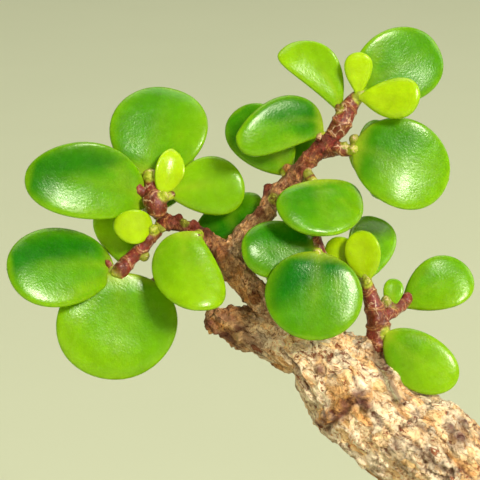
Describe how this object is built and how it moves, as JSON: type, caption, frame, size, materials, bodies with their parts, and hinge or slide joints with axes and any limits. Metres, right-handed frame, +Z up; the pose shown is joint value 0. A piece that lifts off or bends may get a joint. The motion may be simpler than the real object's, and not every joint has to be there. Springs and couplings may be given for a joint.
{
  "type": "elephant bush bonsai",
  "caption": "Small leaning elephant bush bonsai with a rough snapped stub, forked branches and round fleshy leaves, rooted in a plain oval stoneware pot.",
  "frame": {"origin": "middle of the pot's flat underside, on the surface it stands on", "axes": "+X along the pot's length, away from the crown and towards the root end of the trunk; +Y to the back, away from the picture's viewpoint; +Z up"},
  "size_m": [0.1172, 0.066, 0.1357],
  "materials": {
    "pot": "matte",
    "soil": "matte",
    "bark": "matte",
    "leaf": "gloss",
    "twig": "satin"
  },
  "bodies": {
    "root": {"pot": "pot", "soil": "soil", "trunk": "bark", "shoot_left_upper": "leaf", "shoot_left_lower": "leaf", "shoot_back_left": "leaf", "shoot_back_low": "leaf", "shoot_back_middle": "leaf", "shoot_back_right": "leaf", "spur_left_inner": "leaf", "spur_fork_back": "leaf", "spur_right_back": "leaf", "spur_right_front": "leaf", "spur_right_under": "leaf", "spur_right_node": "leaf", "spur_right_node_back": "leaf", "shoot_right_side": "leaf", "shoot_right_tip": "leaf", "shoot_middle": "leaf", "shoot_side": "leaf"}
  },
  "joints": []
}
